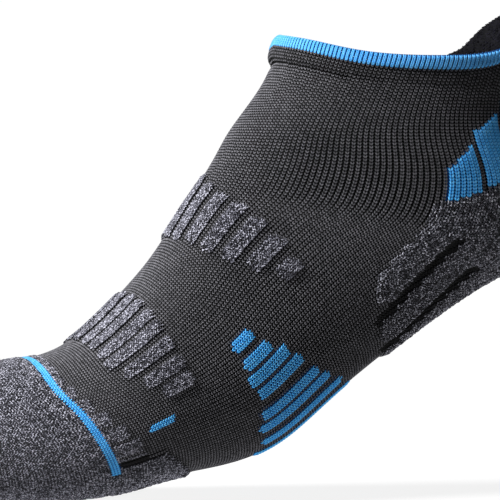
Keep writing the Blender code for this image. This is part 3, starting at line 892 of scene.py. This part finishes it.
loops = {"base": 0.05, "rough": 0.3, "settle": 0.8}
heelLoops = {"base": 0.08, "rough": 0.35, "settle": 0.7}
legEnd, ankleEnd, instepEnd = 34, 100, 155  # courses where the plain knit is parted into pieces
leg = courses < legEnd
ankle = main & ~leg & (courses < ankleEnd)
instep = main & (courses >= ankleEnd) & (courses < instepEnd)
foot = main & (courses >= instepEnd)
onTab = a > tabStart
blueStart = 1.3  # on the tab, the blue starts this far below the top edge
edge = isKind("edge") & ~(onTab & (depths < blueStart))
edgeInside = (edge & (depths < 0.9) & (a < 120), inside)
terryInside = (leg & ((depths > blueStart) | onTab), inside)
terryTop = onTab & (depths < blueStart)
blendPieces = [
    shell,
    piece("legKnit", "charcoal", plain, 3, main & leg, base=0.3),
    piece("cuffBand", "band", plain, 13, isKind("band"), base=0.36, settle=0.0),
    piece("blueWelt", "welt", welt, 17, edge, edgeInside, base=0.5, settle=0.0),
    piece("tabTerry", "terry", lining, 19, terryInside, terryTop, rough=0.25, settle=0.5),
]
sockPieces = [
    piece("ankleKnitOuter", "charcoal", plain, 23, ankle & outerSide, base=0.3),
    piece("ankleKnitInner", "charcoal", plain, 29, ankle & ~outerSide, base=0.3),
    piece("instepKnitOuter", "charcoal", plain, 31, instep & outerSide, base=0.3),
    piece("instepKnitInner", "charcoal", plain, 37, instep & ~outerSide, base=0.3),
    piece("footKnitOuter", "charcoal", plain, 97, foot & outerSide, base=0.3),
    piece("footKnitInner", "charcoal", plain, 101, foot & ~outerSide, base=0.3),
    piece("instepRibs", "lightHeather", flecked, 43, isKind("rib"), base=0.1),
    piece("archStripes", "blue", ridge, 47, isKind("arch"), base=0.5),
    piece("achillesBars", "blue", ridge, 53, isKind("bar"), base=0.5),
    piece("heelCup", "heather", terry, 59, isKind("heel"), **heelLoops),
    piece("flexChannels", "black", plain, 61, isKind("channel"), base=0.2),
    piece("toeTeeth", "lightHeather", flecked, 67, isKind("teeth"), base=0.05),
    piece("toeStripe", "blue", ridge, 71, isKind("stripe"), base=0.5),
    piece("toeCap", "lightHeather", terry, 73, isKind("cap") & outerSide, **loops),
    piece("toeCapInner", "lightHeather", terry, 103, isKind("cap") & ~outerSide, **loops),
    piece("forefootPad", "lightHeather", terry, 79, isKind("pad"), **loops),
    piece("sideBar", "blue", ridge, 83, isKind("mark"), base=0.5),
]

seamSet = {"course": 258.0, "halfAngle": 78.0, "step": 1.6, "stand": 0.5, "thick": 1.15}


def makeToeSeam():  # linking stitches that lie along the closing seam over the toes
    around = np.arange(-seamSet["halfAngle"], seamSet["halfAngle"], seamSet["step"])
    course = np.full(len(around), seamSet["course"])
    out = formNormal(course, around)
    points = onForm(course, around) + out * (liftAt(course, around) + seamSet["stand"])[:, None]
    along = unit(np.gradient(points, axis=0))
    pitch = np.linalg.norm(np.gradient(points, axis=0), axis=1)
    size = np.stack([pitch, pitch * 1.5, np.full(len(around), seamSet["thick"])], 1)
    base = np.full(len(around), 0.2)
    return knitPiece("toeSeam", points, out, along, size, base, finishes["seam"], {**ridge, "Seed": 89})


sockPieces.append(makeToeSeam())

# What each piece stands for

cadNames = sorted(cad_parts)


def nodesLike(*stems):
    return [name for name in cadNames if any(name.startswith(stem) for stem in stems)]


stands = {
    "sockCloth": nodesLike("main_knit") + ["heel_tab_lining", "cuff_elastic"],
    "cuffBand": ["cuff_band", "heel_tab_cover"],
    "blueWelt": ["cuff_edge", "heel_tab_edge"],
    "tabTerry": ["heel_tab_pad"],
    "instepRibs": nodesLike("upper_rib", "lower_rib"),
    "archStripes": nodesLike("arch_stripe"),
    "achillesBars": nodesLike("achilles_bar"),
    "heelCup": ["heel_cup"],
    "toeTeeth": ["toe_transition"],
    "toeStripe": ["toe_stripe"],
    "toeCap": ["toe_cap"],
    "toeSeam": ["toe_seam"],
    "forefootPad": ["forefoot_pad"],
    "sideBar": ["side_mark"],
}
foldWay = unit(np.array([0.4, 0.0, 0.92]))
for made in blendPieces:
    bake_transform(made, "sock", "heel_tab", start=tuple(foldWay * 0.014), end=tuple(foldWay * 0.024))
for made in sockPieces:
    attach(made, "sock")
for made in blendPieces + sockPieces:
    if made.name in stands:
        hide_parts(*stands[made.name])

print("pieces placed")
